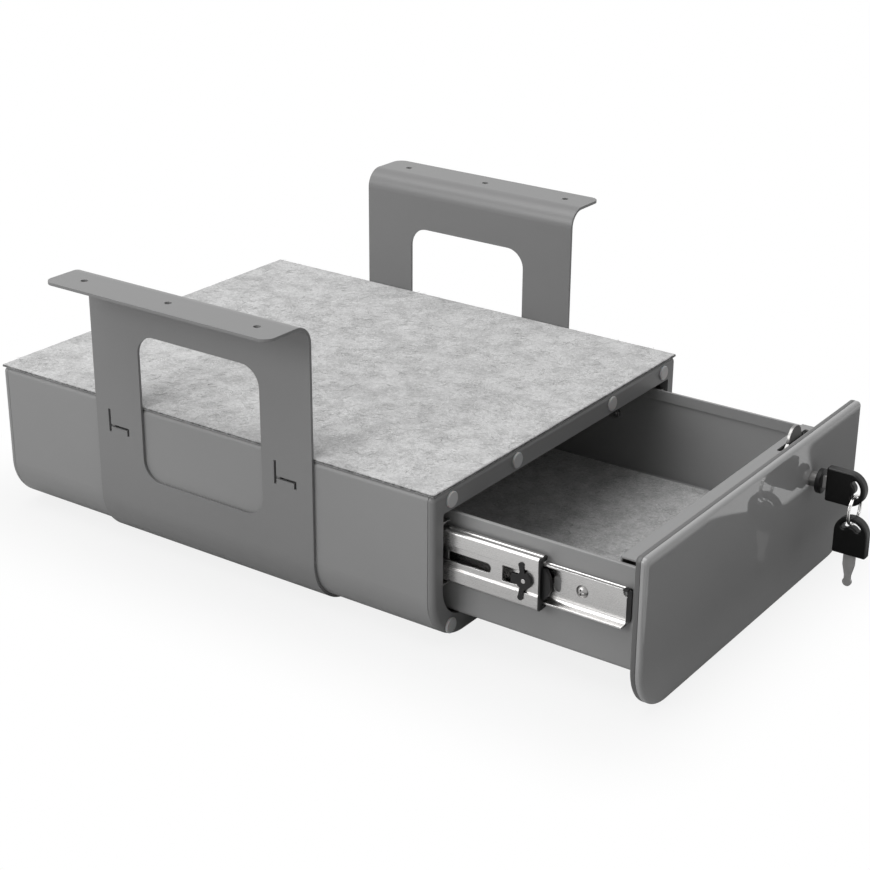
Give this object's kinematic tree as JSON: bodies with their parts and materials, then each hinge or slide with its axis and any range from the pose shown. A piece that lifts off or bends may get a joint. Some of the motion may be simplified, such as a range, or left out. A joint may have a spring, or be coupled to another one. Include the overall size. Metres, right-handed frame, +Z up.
{
  "type": "under desk drawer safe",
  "caption": "Lockable steel drawer that hangs under a desk from two bent brackets, with a felt top mat, ball-bearing slides, a cam lock with a hook, and keys on a split ring.",
  "frame": {"origin": "the centre of the pattern of six desk screws, on the plane of the flanges' top faces, which is the underside of the desk", "axes": "X to the right seen from the front, Y from the front panel to the back, Z up; the drawer opens along -Y"},
  "size_m": [0.398, 0.5831, 0.2071],
  "materials": {
    "grey_paint": "fine grey powder coat, low gloss on the housing and brackets, glossy on the front panel",
    "dark_paint": "dark grey powder coat",
    "zinc_steel": "bright zinc plate",
    "ball_steel": "polished steel balls",
    "black_plastic": "moulded black plastic",
    "key_plastic": "moulded black plastic with a soft sheen",
    "felt": "light grey felt",
    "soft_bumper": "milky soft bumper",
    "lock_chrome": "polished chrome plate",
    "key_nickel": "bright nickel plate"
  },
  "bodies": {
    "housing": {"housing_shell": "grey_paint", "top_plate": "grey_paint", "front_frame": "dark_paint", "back_cover": "grey_paint", "top_felt_mat": "felt", "frame_bumpers": "soft_bumper", "bracket_left": "grey_paint", "bracket_right": "grey_paint", "bracket_screws": "zinc_steel", "bracket_nuts": "zinc_steel", "slide_rail_left": "dark_paint", "slide_rail_right": "dark_paint", "slide_outer_left": "zinc_steel", "slide_outer_right": "zinc_steel", "slide_outer_screws": "zinc_steel", "slide_stop_left": "black_plastic", "slide_stop_right": "black_plastic"},
    "outer_cage_left": {"outer_retainer_left": "zinc_steel", "outer_balls_left": "ball_steel"},
    "outer_cage_right": {"outer_retainer_right": "zinc_steel", "outer_balls_right": "ball_steel"},
    "middle_left": {"slide_middle_left": "zinc_steel", "middle_guide_left": "black_plastic"},
    "middle_right": {"slide_middle_right": "zinc_steel", "middle_guide_right": "black_plastic"},
    "lever_left": {"release_lever_left": "black_plastic"},
    "lever_right": {"release_lever_right": "black_plastic"},
    "inner_cage_left": {"inner_retainer_left": "black_plastic", "inner_balls_left": "ball_steel"},
    "inner_cage_right": {"inner_retainer_right": "black_plastic", "inner_balls_right": "ball_steel"},
    "drawer": {"slide_inner_left": "zinc_steel", "slide_inner_right": "zinc_steel", "slide_inner_ends": "black_plastic", "slide_inner_screws": "zinc_steel", "slide_inner_nuts": "zinc_steel", "drawer_tray": "grey_paint", "drawer_liner": "felt", "lock_box": "grey_paint", "panel_back": "grey_paint", "front_panel": "grey_paint", "panel_screws": "zinc_steel", "lock_barrel": "lock_chrome", "lock_nut": "lock_chrome"},
    "lock_core": {"lock_plug": "lock_chrome", "lock_dial": "black_plastic", "lock_hook": "zinc_steel", "hook_screw": "zinc_steel"},
    "working_key": {"key_blade": "key_nickel", "key_head": "key_plastic"},
    "ring": {"key_ring": "key_nickel"},
    "spare_key": {"spare_key_blade": "key_nickel", "spare_key_head": "key_plastic"}
  },
  "joints": [
    {"name": "drawer_slide", "type": "slide", "parent": "housing", "child": "drawer", "axis": [0, -1, 0], "range_m": [-0.1416, 0.2084]},
    {"name": "middle_left_slide", "type": "slide", "parent": "housing", "child": "middle_left", "axis": [0, -1, 0], "range_m": [-0.08218, 0.12092]},
    {"name": "outer_cage_left_slide", "type": "slide", "parent": "housing", "child": "outer_cage_left", "axis": [0, -1, 0], "range_m": [-0.04111, 0.06049]},
    {"name": "inner_cage_left_slide", "type": "slide", "parent": "housing", "child": "inner_cage_left", "axis": [0, -1, 0], "range_m": [-0.11191, 0.16469]},
    {"name": "lever_left_turn", "type": "hinge", "parent": "middle_left", "child": "lever_left", "pos_m": [-0.14315, -0.25203, -0.1416], "axis": [1, 0, 0], "range_deg": [-5, 5], "stiffness_Nm_per_rad": 0.01},
    {"name": "middle_right_slide", "type": "slide", "parent": "housing", "child": "middle_right", "axis": [0, -1, 0], "range_m": [-0.08218, 0.12092]},
    {"name": "outer_cage_right_slide", "type": "slide", "parent": "housing", "child": "outer_cage_right", "axis": [0, -1, 0], "range_m": [-0.04111, 0.06049]},
    {"name": "inner_cage_right_slide", "type": "slide", "parent": "housing", "child": "inner_cage_right", "axis": [0, -1, 0], "range_m": [-0.11191, 0.16469]},
    {"name": "lever_right_turn", "type": "hinge", "parent": "middle_right", "child": "lever_right", "pos_m": [0.14315, -0.25203, -0.1416], "axis": [1, 0, 0], "range_deg": [-5, 5], "stiffness_Nm_per_rad": 0.01},
    {"name": "lock_turn", "type": "hinge", "parent": "drawer", "child": "lock_core", "pos_m": [0.077, -0.3448, -0.127], "axis": [0, 1, 0], "range_deg": [0, 90]},
    {"name": "key_withdraw", "type": "slide", "parent": "lock_core", "child": "working_key", "axis": [0, -1, 0], "range_m": [0, 0.0214]},
    {"name": "ring_turn", "type": "hinge", "parent": "working_key", "child": "ring", "pos_m": [0.077, -0.37766, -0.14206], "axis": [0, 1, 0], "range_deg": [-90, 0]},
    {"name": "spare_swing", "type": "hinge", "parent": "ring", "child": "spare_key", "pos_m": [0.077, -0.37766, -0.15231], "axis": [1, 0, 0], "range_deg": [-25, 25]}
  ],
  "couplings": [
    {"joint": "middle_left_slide", "follows": "drawer_slide", "ratio": 0.58},
    {"joint": "outer_cage_left_slide", "follows": "drawer_slide", "ratio": 0.29},
    {"joint": "inner_cage_left_slide", "follows": "drawer_slide", "ratio": 0.79},
    {"joint": "middle_right_slide", "follows": "drawer_slide", "ratio": 0.58},
    {"joint": "outer_cage_right_slide", "follows": "drawer_slide", "ratio": 0.29},
    {"joint": "inner_cage_right_slide", "follows": "drawer_slide", "ratio": 0.79},
    {"joint": "ring_turn", "follows": "lock_turn", "ratio": -1}
  ]
}
